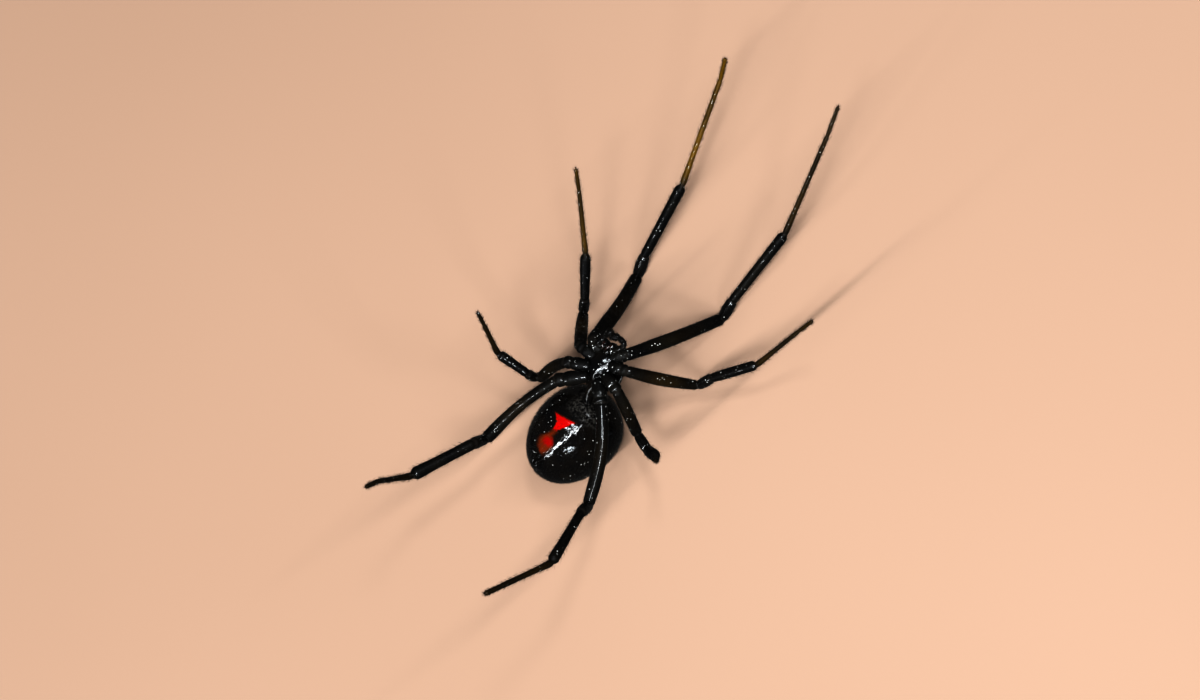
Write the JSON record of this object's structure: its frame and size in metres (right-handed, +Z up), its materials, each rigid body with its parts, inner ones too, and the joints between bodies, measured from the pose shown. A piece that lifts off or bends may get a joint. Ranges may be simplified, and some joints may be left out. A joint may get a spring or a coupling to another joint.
{
  "type": "black widow spider model",
  "caption": "Life-size adult female black widow spider, still, resting on its back with legs spread and the red hourglass up.",
  "frame": {"origin": "middle of the small flat on the abdomen's back, at the level of the floor", "axes": "+Z up, the side of the belly; +Y towards the head; +X towards the spider's own left"},
  "size_m": [0.0213, 0.0417, 0.0197],
  "materials": {
    "black_gloss": "glossy black cuticle of the abdomen and head part",
    "leg_black": "satin black cuticle with a faint olive brown tint",
    "leg_brown": "dark amber brown cuticle of the thin end segments",
    "red_mark": "bright red mark under a glossy skin",
    "eye_gloss": "polished near black lens",
    "fang_brown": "dark reddish brown, glossy"
  },
  "bodies": {
    "root": {"abdomen": "black_gloss", "carapace": "black_gloss", "chelicera_left": "black_gloss", "chelicera_right": "black_gloss", "eye_front_inner_left": "eye_gloss", "eye_front_inner_right": "eye_gloss", "eye_front_outer_left": "eye_gloss", "eye_front_outer_right": "eye_gloss", "eye_rear_inner_left": "eye_gloss", "eye_rear_inner_right": "eye_gloss", "eye_rear_outer_left": "eye_gloss", "eye_rear_outer_right": "eye_gloss", "fang_left": "fang_brown", "fang_right": "fang_brown", "hourglass_mark": "red_mark", "leg_left_1_coxa": "leg_black", "leg_left_1_femur": "leg_black", "leg_left_1_patella": "leg_black", "leg_left_1_tarsus": "leg_brown", "leg_left_1_tibia": "leg_black", "leg_left_2_coxa": "leg_black", "leg_left_2_femur": "leg_black", "leg_left_2_patella": "leg_black", "leg_left_2_tarsus": "leg_brown", "leg_left_2_tibia": "leg_black", "leg_left_3_coxa": "leg_black", "leg_left_3_femur": "leg_black", "leg_left_3_patella": "leg_black", "leg_left_3_tarsus": "leg_brown", "leg_left_3_tibia": "leg_black", "leg_left_4_coxa": "leg_black", "leg_left_4_femur": "leg_black", "leg_left_4_patella": "leg_black", "leg_left_4_tarsus": "leg_brown", "leg_left_4_tibia": "leg_black", "leg_right_1_coxa": "leg_black", "leg_right_1_femur": "leg_black", "leg_right_1_patella": "leg_black", "leg_right_1_tarsus": "leg_brown", "leg_right_1_tibia": "leg_black", "leg_right_2_coxa": "leg_black", "leg_right_2_femur": "leg_black", "leg_right_2_patella": "leg_black", "leg_right_2_tarsus": "leg_brown", "leg_right_2_tibia": "leg_black", "leg_right_3_coxa": "leg_black", "leg_right_3_femur": "leg_black", "leg_right_3_patella": "leg_black", "leg_right_3_tarsus": "leg_brown", "leg_right_3_tibia": "leg_black", "leg_right_4_coxa": "leg_black", "leg_right_4_femur": "leg_black", "leg_right_4_patella": "leg_black", "leg_right_4_tarsus": "leg_brown", "leg_right_4_tibia": "leg_black", "pedicel": "black_gloss", "pedipalp_left": "black_gloss", "pedipalp_right": "black_gloss", "spinnerets": "black_gloss", "sternum": "black_gloss"}
  },
  "joints": []
}
